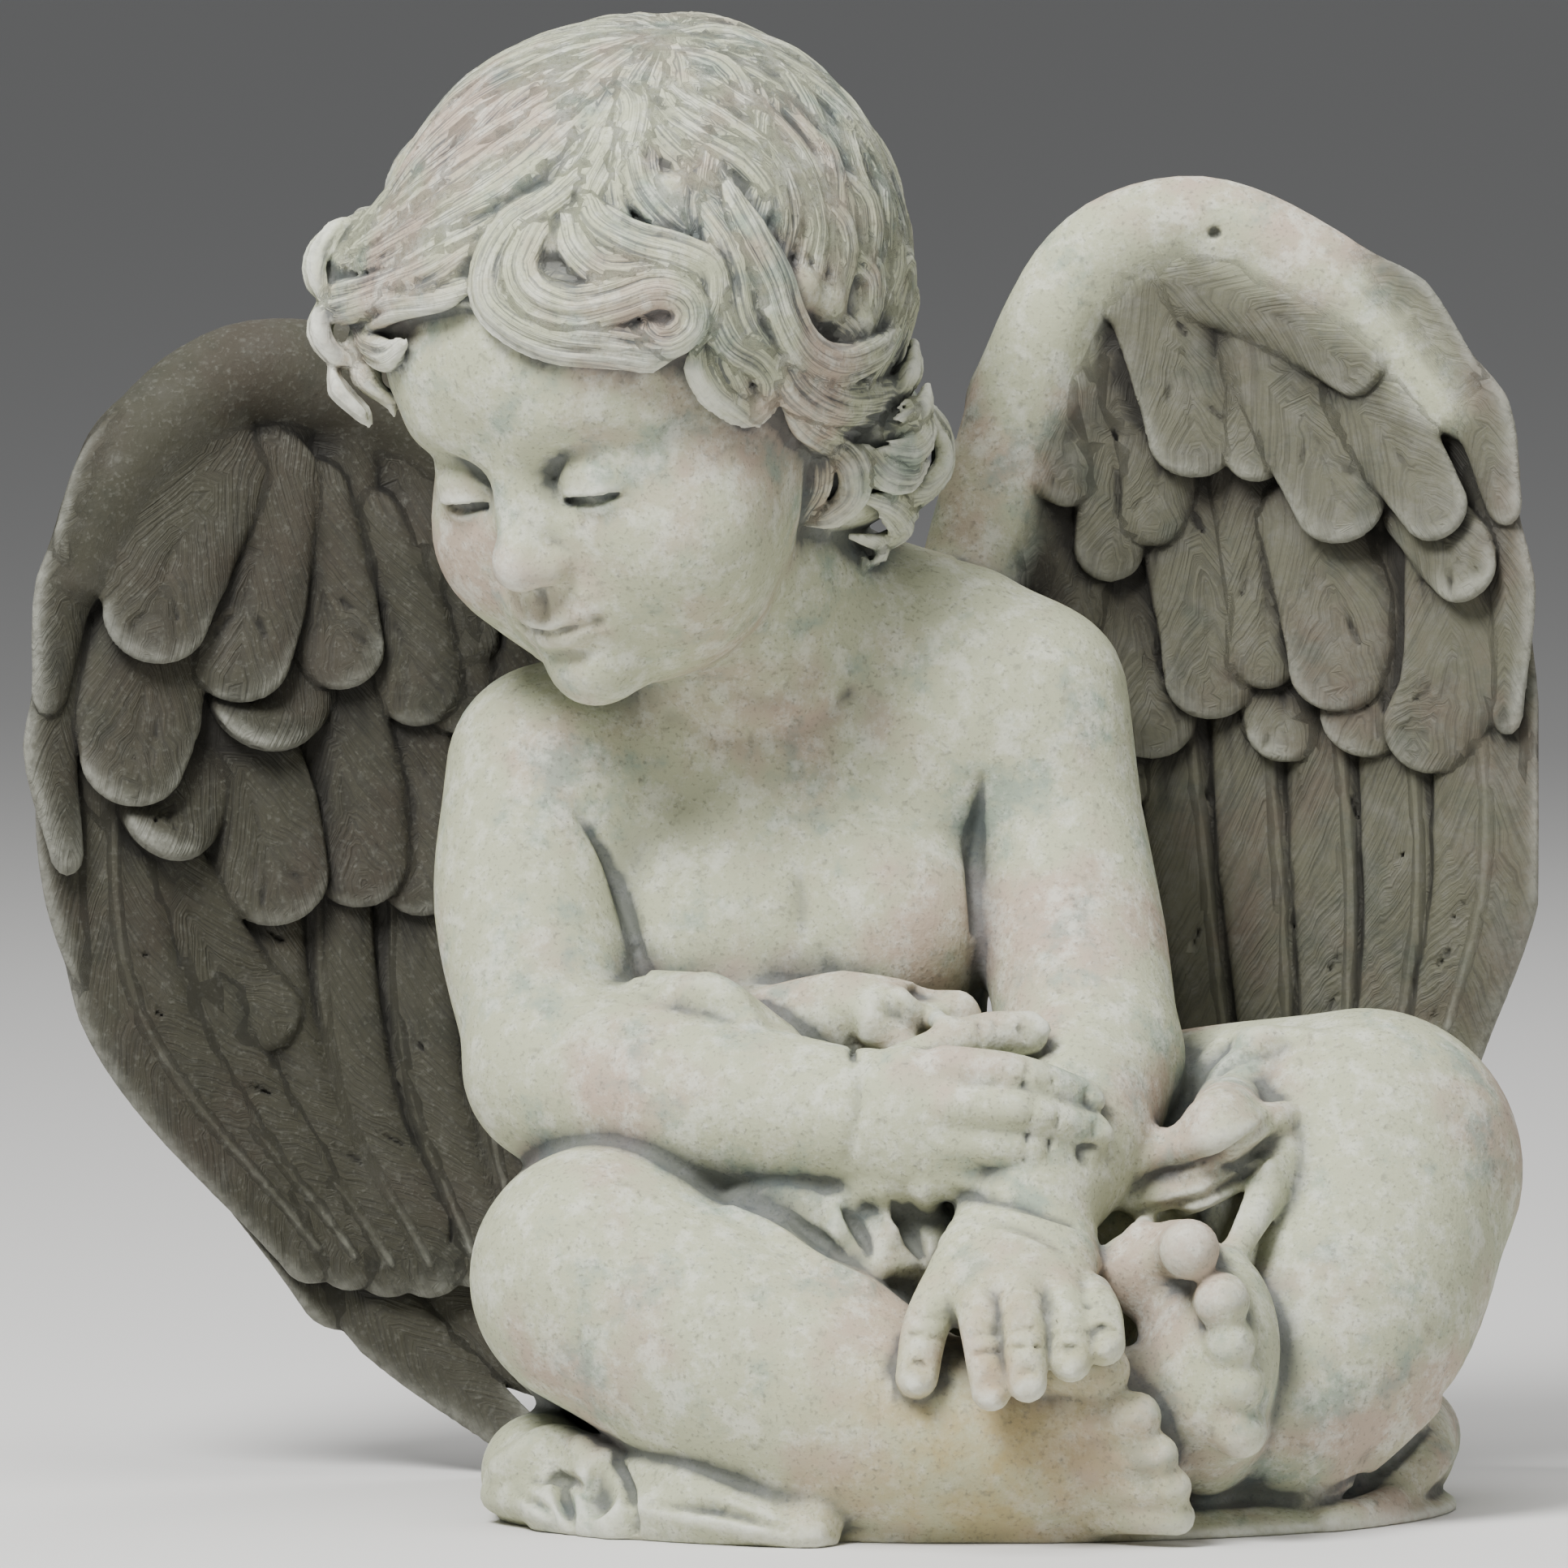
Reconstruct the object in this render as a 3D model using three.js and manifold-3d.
// A seated putto with two wings, carved as one stone with its crumpled ground cloth.
// Millimetres, +Z up, the figure faces -Y. The origin is the middle of the underside.
//
// The figure is drawn on a modulus of 296 parts from the underside to the crown. Every
// place and radius in the carving is in those parts, so the figure keeps its pose and
// its proportions when its height changes. "Right" and "left" are the figure's own.
import * as THREE from "three";
import { mergeVertices } from "three/addons/utils/BufferGeometryUtils.js";
import Module from "manifold-3d";

const statueHeight = 300;
const partsInHeight = 296;
const stoneColour = 0xb9b6a4;
const shortestEdge = 2.1;

const wasm = await Module();
wasm.setup();

// Turns a closed geometry into a solid that can be joined and cut.
function solid(geometry) {
  const bare = geometry.clone();
  bare.deleteAttribute("normal");
  bare.deleteAttribute("uv");
  const merged = mergeVertices(bare, 1e-4);
  return new wasm.Manifold(
    new wasm.Mesh({
      numProp: 3,
      vertProperties: new Float32Array(merged.attributes.position.array),
      triVerts: new Uint32Array(merged.index.array),
    }),
  );
}

const vector = ([x, y, z]) => new THREE.Vector3(x, y, z);
const smoothPath = (joints) =>
  new THREE.CatmullRomCurve3(joints.map(vector), false, "catmullrom", 0.5);

// A rounded mass: an ellipsoid, turned by Euler angles in degrees.
function mass(centre, radii, { turn = [0, 0, 0], facets = 2 } = {}) {
  const angles = turn.map(THREE.MathUtils.degToRad);
  const turned = new THREE.Quaternion().setFromEuler(new THREE.Euler(...angles));
  return new THREE.IcosahedronGeometry(1, facets).applyMatrix4(
    new THREE.Matrix4().compose(vector(centre), turned, vector(radii)),
  );
}

// A roll with round ends that follows a smooth path through its joints. radii holds its
// half width at each joint, and flat is its depth against its width. up is the way that
// its flatter side faces, and rounding is the number of rings in each round end.
function roll(joints, radii, { flat = 1, up = [0, -1, 0], sides = 8, steps = 1, rounding = 2 } = {}) {
  const spans = joints.length - 1;
  const path = smoothPath(joints);
  const facing = vector(up).normalize();
  const geometry = new THREE.CapsuleGeometry(1, spans, rounding, sides, spans * steps);
  const place = geometry.attributes.position;
  for (let i = 0; i < place.count; i++) {
    const local = new THREE.Vector3().fromBufferAttribute(place, i);
    const along = THREE.MathUtils.clamp(local.y + spans / 2, 0, spans);
    const beyond = local.y + spans / 2 - along;
    const joint = Math.min(Math.floor(along), spans - 1);
    const radius = THREE.MathUtils.lerp(radii[joint], radii[joint + 1], along - joint);
    const tangent = path.getTangent(along / spans);
    const side = new THREE.Vector3().crossVectors(tangent, facing).normalize();
    const depth = new THREE.Vector3().crossVectors(side, tangent);
    const point = path
      .getPoint(along / spans)
      .addScaledVector(tangent, beyond * radius)
      .addScaledVector(side, local.x * radius)
      .addScaledVector(depth, local.z * radius * flat);
    place.setXYZ(i, point.x, point.y, point.z);
  }
  return geometry;
}

// A finger or toe, from its root to its tip.
function digit(joints, rootRadius, tipRadius) {
  const last = joints.length - 1;
  const radii = joints.map((_, i) => THREE.MathUtils.lerp(rootRadius, tipRadius, i / last));
  return roll(joints, radii, { sides: 6 });
}

function torso() {
  return [
    mass([0, 22, 38], [54, 40, 42], { facets: 1 }),
    mass([1, 8, 76], [43, 38, 42]),
    mass([1, 12, 122], [44, 32, 44]),
    mass([19, -8, 116], [22, 19, 22]),
    mass([-14, -8, 112], [23, 19, 22]),
    mass([-38, 8, 143], [27, 23, 23]),
    mass([40, 8, 153], [26, 23, 25]),
    mass([2, 32, 120], [43, 23, 48]),
    roll([[-4, 14, 150], [-12, 2, 184]], [26, 26.5], { sides: 12 }),
    roll([[4, 14, 178], [34, 14, 169]], [18, 17.5], { sides: 10 }),
  ];
}

function arms() {
  return [
    roll([[-46, 6, 146], [-50, -8, 120], [-45, -24, 91]], [21.5, 20, 19], { sides: 12 }),
    roll([[-45, -27, 88], [-14, -47, 83.5], [14, -59, 81.5]], [19, 17.5, 14.5], { sides: 12 }),
    roll([[49, 8, 160], [54, 1, 136], [58, -10, 113], [61, -26, 92]], [20, 18, 19, 18.5], { sides: 12 }),
    roll([[61, -28, 90], [56, -48, 78], [48, -66, 65]], [18.5, 17, 14], { sides: 12 }),
  ];
}

// The right hand lies across the left forearm, thumb uppermost.
function rightHand() {
  return [
    roll([[13, -60, 81.5], [24, -66, 81], [35, -68, 80.5]], [12.5, 15.5, 13.5], { flat: 0.6 }),
    digit([[24, -60, 91], [38, -55, 97], [48, -53, 98]], 5.6, 4.4),
    digit([[33, -70, 89], [46, -71, 89], [58, -65, 85]], 5, 4),
    digit([[33, -73, 83], [47, -74, 82.5], [60, -67, 78.5]], 5, 4.1),
    digit([[33, -72, 77], [46, -73, 76], [57, -68, 73.5]], 4.8, 3.9),
    digit([[30, -69, 71.5], [41, -70, 69], [49, -67, 66.5]], 4.6, 3.6),
  ];
}

// The left hand hangs over the instep of the right foot.
function leftHand() {
  return [
    roll([[48, -68, 63], [46, -80, 56], [45, -90, 49]], [12.5, 16, 15.5], { flat: 0.6, up: [0, -1, 0.8] }),
    digit([[34, -84, 54], [28, -93, 44], [26, -98, 34]], 5.4, 4.2),
    digit([[38, -94, 50], [39, -102, 42], [40.5, -106, 32]], 4.9, 3.9),
    digit([[46, -96, 50], [47, -105, 43], [47.5, -109, 34]], 5, 4.1),
    digit([[54, -95, 49], [55.5, -103, 44], [56, -106, 38]], 4.8, 4.2),
    digit([[60, -90, 49], [62, -99, 46], [62.5, -103, 41]], 4.7, 4.3),
  ];
}

function legs() {
  const limb = { sides: 12, steps: 2 };
  return [
    roll([[-24, 15, 40], [-34, -20, 46], [-36, -54, 50]], [32, 28, 25.5], limb),
    roll([[-36, -56, 49], [-14, -66, 37], [6, -72, 28], [24, -78, 22], [38, -80, 20]], [25.5, 26, 25.5, 21, 18], limb),
    roll([[34, 18, 42], [74, 4, 60], [116, -14, 69]], [33, 32, 31], limb),
    roll([[116, -18, 66], [111, -38, 43], [98, -52, 25]], [31, 27, 20], limb),
  ];
}

// The right foot lies on its outer edge, its toes to the right of the picture.
function rightFoot() {
  const toes = [
    [[57, -93, 35], 6.6],
    [[64, -95, 26], 5.6],
    [[68, -95, 18.5], 4.9],
    [[71, -94, 12], 4.5],
    [[72, -92, 6], 4.2],
  ];
  return [
    roll([[30, -74, 19], [50, -80, 20], [66, -80, 20]], [17, 19, 18], { flat: 0.8 }),
    ...toes.map(([[x, y, z], r]) => digit([[x - 12, y + 7, z], [x, y, z], [x + 5, y - 1, z]], r * 0.9, r)),
  ];
}

// The left foot stands on its outer edge, its sole towards the right foot.
function leftFoot() {
  const toes = [
    [[80, -86, 57], 6.6],
    [[86, -87, 47], 5.4],
    [[88, -87, 38.5], 4.9],
    [[89, -86, 30.5], 4.7],
    [[90, -84, 21.5], 4.8],
  ];
  return [
    roll([[82, -44, 24], [83, -64, 30], [84, -78, 38]], [20, 23, 22], { flat: 0.62, up: [-1, 0, 0] }),
    mass([80, -42, 24], [14, 14, 20]),
    ...toes.map(([[x, y, z], r]) => digit([[x - 1, y + 14, z - 3], [x, y, z], [x, y - 3, z]], r * 0.9, r)),
  ];
}

// The cloth: rolls of folds in the lap and over the left thigh, and a low heap under the
// figure that is cut flat below.
function cloth() {
  const fold = { sides: 6 };
  return [
    roll([[-26, -34, 104], [-14, -42, 102], [-2, -44, 95]], [5, 6.5, 5], fold),
    roll([[-8, -30, 96], [12, -36, 99], [34, -34, 98]], [8, 10, 7], fold),
    roll([[-8, -58, 62], [8, -68, 54], [24, -78, 44]], [5, 6, 5], fold),
    mass([12, -42, 54], [34, 28, 20]),
    mass([70, -14, 66], [26, 22, 20], { facets: 1 }),
    roll([[70, -52, 66], [84, -52, 70], [98, -42, 79]], [7, 8, 6], { ...fold, flat: 0.7 }),
    roll([[80, -20, 76], [86, -22, 90], [98, -12, 95]], [9, 8, 4], fold),
    roll([[99, -44, 78], [94, -56, 66], [88, -66, 55]], [5, 5.5, 4], fold),
    mass([38, -16, 0], [97, 71, 11]),
    roll([[-47, -12, 9], [-48, -44, 9], [-36, -60, 6]], [10, 12, 10], fold),
    roll([[-42, -60, 4], [-18, -78, 4], [4, -88, 2]], [10, 10, 7], fold),
    roll([[104, -40, 4], [120, -22, 10], [125, 4, 12]], [8, 12, 11], fold),
  ];
}

// The head is carved upright, facing -Y, with its centre between the ears, and is then
// turned to the figure's right, bowed and tilted.
const headPlace = new THREE.Matrix4().compose(
  new THREE.Vector3(-29, -20, 228),
  new THREE.Quaternion().setFromEuler(
    new THREE.Euler(...[20, -5, -38].map(THREE.MathUtils.degToRad), "ZXY"),
  ),
  new THREE.Vector3(1, 1, 1),
);
const skullCentre = [0, 7, 16.5];
const skullRadii = [46, 53, 46];

function face() {
  const bothSides = (make) => [-1, 1].map(make);
  const ridge = { sides: 6 };
  return [
    mass(skullCentre, skullRadii),
    mass([0, -13, -15], [37, 33.5, 40], { facets: 3 }),
    mass([0, -20, -42], [26, 20, 15]),
    mass([0, -36, -47.5], [11, 10, 9.5], { facets: 1 }),
    roll([[0, -42, -3], [0, -47, -14], [0, -50.5, -22]], [4.5, 5, 6], ridge),
    roll([[-9, -43, -33.5], [0, -47.5, -33], [9, -43, -33.5]], [2.4, 3.2, 2.4], ridge),
    roll([[-7, -42, -38.5], [0, -46, -39.5], [7, -42, -38.5]], [2.6, 3.4, 2.6], ridge),
    ...bothSides((s) => mass([s * 20, -25, -25], [18, 16.5, 18])),
    ...bothSides((s) => mass([s * 5.8, -46.5, -23.5], [4.4, 4.6, 3.8], { facets: 1 })),
    ...bothSides((s) => mass([s * 16, -37.5, -7], [9, 7.5, 6.8], { facets: 1 })),
    ...bothSides((s) => roll([[s * 7, -43, 3], [s * 17, -42, 6], [s * 29, -33, 3]], [3.6, 4.2, 3.6], ridge)),
  ];
}

// A place on the hair: degrees round the head from the face towards the left ear,
// degrees above the ears, and parts above the skull.
function onScalp([around, above, lift = 5]) {
  const [a, e] = [around, above].map(THREE.MathUtils.degToRad);
  const way = [Math.sin(a) * Math.cos(e), -Math.cos(a) * Math.cos(e), Math.sin(e)];
  return way.map((w, i) => skullCentre[i] + w * (skullRadii[i] + lift));
}

// A lock of hair lies flat on the head along its path of places.
function lock(places, radii, flat = 0.6) {
  const joints = places.map(onScalp);
  const middle = vector(joints[joints.length >> 1]).sub(vector(skullCentre));
  return roll(joints, radii, { flat, up: middle.toArray(), sides: 5, rounding: 1 });
}

// The cap under the locks is ribbed from the crown down, as the back of the head is combed.
function hairCap() {
  const ribs = 12;
  const crown = vector(onScalp([118, 66, 0])).sub(vector(skullCentre)).normalize();
  const turn = new THREE.Quaternion().setFromUnitVectors(new THREE.Vector3(0, 1, 0), crown);
  const cap = new THREE.SphereGeometry(1, 2 * ribs, 6);
  const place = cap.attributes.position;
  for (let i = 0; i < place.count; i++) {
    const point = new THREE.Vector3().fromBufferAttribute(place, i);
    const rib = Math.cos(ribs * Math.atan2(point.z, point.x)) * Math.hypot(point.x, point.z);
    point.applyQuaternion(turn).multiply(vector([53.5 + 2 * rib, 55.5 + 2 * rib, 52.5 + 2 * rib]));
    place.setXYZ(i, point.x, point.y + 12, point.z + 16);
  }
  return cap;
}

// Waves part at the crown and curl over the brow and before the left ear.
function hair() {
  return [
    hairCap(),
    lock([[118, 66], [-20, 66, 8], [-44, 42, 9], [-58, 24, 9]], [8, 13, 12, 8]),
    lock([[60, 62], [12, 51, 8], [-22, 33, 9], [-52, 15, 10]], [7, 10, 10, 8]),
    lock([[46, 52], [16, 36, 7], [-8, 22, 8], [-38, 8, 9]], [6, 9, 9, 7]),
    lock([[-40, 34, 10], [-60, 26, 14], [-62, 12, 15], [-48, 6, 10]], [7, 9, 8, 6]),
    lock([[2, 22, 5], [-24, 13, 9], [-45, 3, 9], [-46, -10, 7]], [5, 7, 6.5, 5]),
    lock([[-56, 8, 8], [-62, -8, 8], [-58, -22, 4]], [7, 7, 5]),
    lock([[62, 64], [42, 46, 8], [24, 33, 9], [8, 20, 8]], [7, 9, 8, 5]),
    lock([[9, 26, 7], [14, 14, 9], [30, 8, 10], [46, 7, 9], [53, 14, 8]], [5, 8, 8, 7, 5]),
    lock([[24, 38, 6], [36, 22, 8], [56, 16, 8], [66, 2, 8]], [7, 9, 9, 6]),
    lock([[66, 60], [58, 42, 7], [72, 27, 8], [82, 10, 8]], [7, 10, 10, 8]),
    lock([[59, 10, 7], [58, -6, 8], [66, -30, 6]], [6, 7, 4]),
    lock([[76, 6, 7], [79, -13, 10], [90, -34, 10]], [7, 9, 7]),
    lock([[150, -32, 7], [180, -42, 7], [220, -38, 7]], [8, 10, 8]),
  ];
}

// The curls at the nape hang clear of the skull, over the left side of the neck.
function napeCurls() {
  return [
    mass([5, 0, 213], [25, 28, 21], { facets: 1 }),
    roll([[22, -16, 228], [28, -12, 214], [23, -13, 199]], [7, 7.5, 5.5], { sides: 5, rounding: 1 }),
    roll([[8, -28, 214], [16, -27, 201], [12, -26, 190]], [7, 7.5, 4.5], { sides: 5, rounding: 1 }),
    roll([[20, 10, 224], [25, 12, 210], [20, 12, 196]], [8, 8.5, 6], { sides: 5, rounding: 1 }),
  ];
}

// A wing is a shell that curves forward to its rim. It is drawn as seen from the front,
// in places across and up, and this gives how far back it lies there.
const shellDepth = (x) => 44 - 0.0045 * (Math.abs(x) - 75) ** 2;
const shellFacing = (x) => [-0.009 * (Math.abs(x) - 75) * Math.sign(x), -1, 0];
const onShell = ([x, z], forward = 0) => [x, shellDepth(x) - forward, z];

// A single feather of the rim: a flat roll on the shell.
function rimFeather(places, width, forward) {
  const joints = places.map((place, i) => onShell(place, forward + 1.5 * (i - 1)));
  const up = shellFacing(joints[1][0]);
  return roll(joints, [width * 0.8, width, width * 0.75], { flat: 0.34, up, sides: 6, rounding: 1 });
}

// A point on a guide line, which runs on straight past both its ends.
function onGuide(guide, share) {
  const within = THREE.MathUtils.clamp(share, 0, 1);
  const beyond = (share - within) * guide.getLength();
  return guide.getPoint(within).addScaledVector(guide.getTangent(within), beyond);
}

// A row of feathers is one pleated sheet between three guide lines, which pass through
// the roots, the middles and the tips of its feathers from -X to +X. Each feather is a
// rounded pleat with a round tip. forward is how far the roots lie in front of the shell,
// or behind it for a row on the back of the wing. Every row reaches in past the shell.
function featherRow({ roots, middles, tips, count, forward, onBack = false }) {
  const out = onBack ? -1 : 1;
  const pleat = 4.5;
  const rise = 4;
  const guides = [roots, middles, tips].map((line) => smoothPath(line.map(([x, z]) => [x, 0, z])));
  const sheet = new THREE.BoxGeometry(count, 2, 2, 3 * count, 2, 1);
  const place = sheet.attributes.position;
  for (let i = 0; i < place.count; i++) {
    const across = place.getX(i) + count / 2;
    const down = 1 - place.getY(i);
    const middleOfFeather = Math.abs(Math.sin(Math.PI * across));
    const [root, middle, tip] = guides.map((guide) => onGuide(guide, (across - 0.5) / (count - 1)));
    const from = down < 1.5 ? root : middle;
    const to = down < 0.5 ? root : down < 1.5 ? middle : tip;
    const point = from.clone().lerp(to, down < 1.5 ? 1 : 0.72 + 0.32 * middleOfFeather);
    const outer = place.getZ(i) * out > 0;
    const lift = outer ? forward + rise * (down / 2) + pleat * (0.25 + middleOfFeather) : -1;
    place.setXYZ(i, point.x, shellDepth(point.x) - out * lift, point.z);
  }
  return sheet;
}

// The bony leading edge of a wing, from the shoulder blade over its bend.
function wingArm(places, radii) {
  return roll(places.map((place) => onShell(place, 4)), radii, { sides: 8 });
}

function leftWing() {
  const bend = [[32, 158], [43, 206], [54, 236], [66, 250], [84, 254.5], [103, 248], [120, 235], [135, 218]];
  return [
    wingArm(bend, [12, 11, 11.5, 12.5, 12.5, 11.5, 9, 6]),
    featherRow({
      count: 7, forward: 0,
      roots: [[46, 186], [92, 206], [134, 196]],
      middles: [[54, 122], [100, 124], [142.5, 132]],
      tips: [[72, 62], [103, 58], [131, 78]],
    }),
    featherRow({
      count: 6, forward: 4,
      roots: [[50, 222], [94, 228], [128, 214]],
      middles: [[52, 182], [96, 184], [136, 180]],
      tips: [[66, 148], [100, 156], [135, 149]],
    }),
    featherRow({
      count: 5, forward: 8,
      roots: [[66, 240], [95, 245], [122, 232]],
      middles: [[72, 221], [101, 222], [132, 213]],
      tips: [[76, 202], [106, 196], [138, 195]],
    }),
    rimFeather([[112, 245], [125, 238], [136, 225]], 7, 5),
    rimFeather([[128, 231], [140, 217], [145, 199]], 7, 5),
    rimFeather([[141, 204], [146.5, 182], [146, 156]], 6.5, 4),
    featherRow({
      count: 5, forward: 2, onBack: true,
      roots: [[50, 218], [94, 242], [130, 222]],
      middles: [[56, 140], [100, 150], [141, 152]],
      tips: [[82, 62], [107, 60], [129, 82]],
    }),
  ];
}

function rightWing() {
  const bend = [[-30, 174], [-50, 201], [-72, 216], [-92, 223.5], [-110, 224], [-125, 215], [-137, 200], [-143, 184]];
  return [
    wingArm(bend, [12, 11.5, 11.5, 12.5, 12, 11, 8, 6]),
    featherRow({
      count: 7, forward: 0,
      roots: [[-136, 160], [-94, 176], [-46, 176]],
      middles: [[-131.5, 98], [-92, 88], [-46, 100]],
      tips: [[-90, 40], [-68, 36], [-44, 44]],
    }),
    featherRow({
      count: 5, forward: 4,
      roots: [[-134, 192], [-101, 200], [-62, 190]],
      middles: [[-139, 160], [-106, 148], [-66, 150]],
      tips: [[-131, 138], [-101, 115], [-66, 119]],
    }),
    featherRow({
      count: 5, forward: 8,
      roots: [[-124, 212], [-100, 217], [-68, 206]],
      middles: [[-131, 192], [-102, 190], [-67, 184]],
      tips: [[-129, 170], [-98, 160], [-68, 158]],
    }),
    rimFeather([[-122, 220], [-135, 207], [-142.5, 193]], 7, 5),
    rimFeather([[-136, 200], [-145, 182], [-148, 162]], 7, 5),
    rimFeather([[-143, 172], [-148, 150], [-145, 128]], 7, 4),
    featherRow({
      count: 5, forward: 2, onBack: true,
      roots: [[-130, 206], [-94, 214], [-46, 186]],
      middles: [[-137, 120], [-98, 112], [-48, 116]],
      tips: [[-84, 32], [-70, 34], [-52, 46]],
    }),
    rimFeather([[-103, 60], [-80, 31], [-55, 9]], 8.5, 0),
    rimFeather([[-84, 46], [-64, 32], [-40, 20]], 11, -3),
  ];
}

const ground = new THREE.BoxGeometry(2 * partsInHeight, 2 * partsInHeight, partsInHeight).translate(
  0, 0, -partsInHeight / 2,
);

function carve() {
  const headForms = [...face(), ...hair()].map((form) => form.applyMatrix4(headPlace));
  const forms = [
    ...torso(), ...arms(), ...rightHand(), ...leftHand(), ...legs(), ...rightFoot(), ...leftFoot(),
    ...cloth(), ...headForms, ...napeCurls(), ...leftWing(), ...rightWing(),
  ];
  const joined = forms.map(solid).reduce((stone, form) => stone.add(form));
  return joined.subtract(solid(ground));
}

// The forms close round a few hollows deep inside. The stone is solid there, so of all
// the closed skins in the triangles only the largest, the outer one, is kept.
function outerSkin(corners) {
  const leader = Uint32Array.from({ length: Math.max(...corners) + 1 }, (_, i) => i);
  const find = (i) => {
    while (leader[i] !== i) {
      leader[i] = leader[leader[i]];
      i = leader[i];
    }
    return i;
  };
  for (let i = 0; i < corners.length; i += 3) {
    leader[find(corners[i])] = find(corners[i + 1]);
    leader[find(corners[i + 1])] = find(corners[i + 2]);
  }
  const sizes = new Map();
  corners.forEach((corner) => sizes.set(find(corner), (sizes.get(find(corner)) ?? 0) + 1));
  const largest = Math.max(...sizes.values());
  return corners.filter((corner) => sizes.get(find(corner)) === largest);
}

// The joins between the forms leave short edges. An edge is drawn to one of its ends where
// that keeps the skin closed and turns no face by more than a little.
function withoutShortEdges(points, corners, shortest) {
  const faces = Array.from({ length: corners.length / 3 }, (_, i) => [...corners.slice(3 * i, 3 * i + 3)]);
  const facesAt = points.map(() => new Set());
  faces.forEach((face) => face.forEach((corner) => facesAt[corner].add(face)));
  const normalOf = (at) => new THREE.Triangle(...at).getNormal(new THREE.Vector3());
  const neighboursOf = (corner) => new Set([...facesAt[corner]].flat());
  const staysTurned = (face, gone, kept) => {
    const moved = face.map((corner) => points[corner === gone ? kept : corner]);
    return normalOf(moved).dot(normalOf(face.map((corner) => points[corner]))) > 0.94;
  };
  const canJoin = (gone, kept) => {
    const shared = [...neighboursOf(gone)].filter((corner) => neighboursOf(kept).has(corner));
    const moving = [...facesAt[gone]].filter((face) => !face.includes(kept));
    return shared.length === 4 && moving.every((face) => staysTurned(face, gone, kept));
  };
  const join = (gone, kept) => {
    for (const face of [...facesAt[gone]]) {
      if (face.includes(kept)) {
        face.forEach((corner) => facesAt[corner].delete(face));
      } else {
        face[face.indexOf(gone)] = kept;
        facesAt[kept].add(face);
      }
    }
    facesAt[gone].clear();
  };
  for (const face of faces) {
    for (const [from, to] of [[0, 1], [1, 2], [2, 0], [1, 0], [2, 1], [0, 2]]) {
      const [gone, kept] = [face[from], face[to]];
      const isShort = facesAt[gone].has(face) && points[gone].distanceTo(points[kept]) < shortest;
      if (isShort && canJoin(gone, kept)) join(gone, kept);
    }
  }
  return faces.filter((face) => facesAt[face[0]].has(face)).flat();
}

// Scales the carving to its height and sets the middle of its underside at the origin.
function finished(stone) {
  const { vertProperties, triVerts } = stone.getMesh();
  const places = new THREE.BufferAttribute(vertProperties, 3);
  const points = Array.from({ length: places.count }, (_, i) => new THREE.Vector3().fromBufferAttribute(places, i));
  const corners = withoutShortEdges(points, outerSkin(triVerts), shortestEdge);
  const geometry = new THREE.BufferGeometry().setFromPoints(corners.map((corner) => points[corner]));
  geometry.computeBoundingBox();
  const { min, max } = geometry.boundingBox;
  geometry.translate(-(min.x + max.x) / 2, -(min.y + max.y) / 2, -min.z);
  const partSize = statueHeight / (max.z - min.z);
  geometry.scale(partSize, partSize, partSize);
  geometry.computeVertexNormals();
  return geometry;
}

const statue = new THREE.Group();
const putto = new THREE.Mesh(
  finished(carve()),
  new THREE.MeshStandardMaterial({ color: stoneColour, roughness: 0.85, metalness: 0 }),
);
putto.name = "putto_statue";
statue.add(putto);

export default statue;
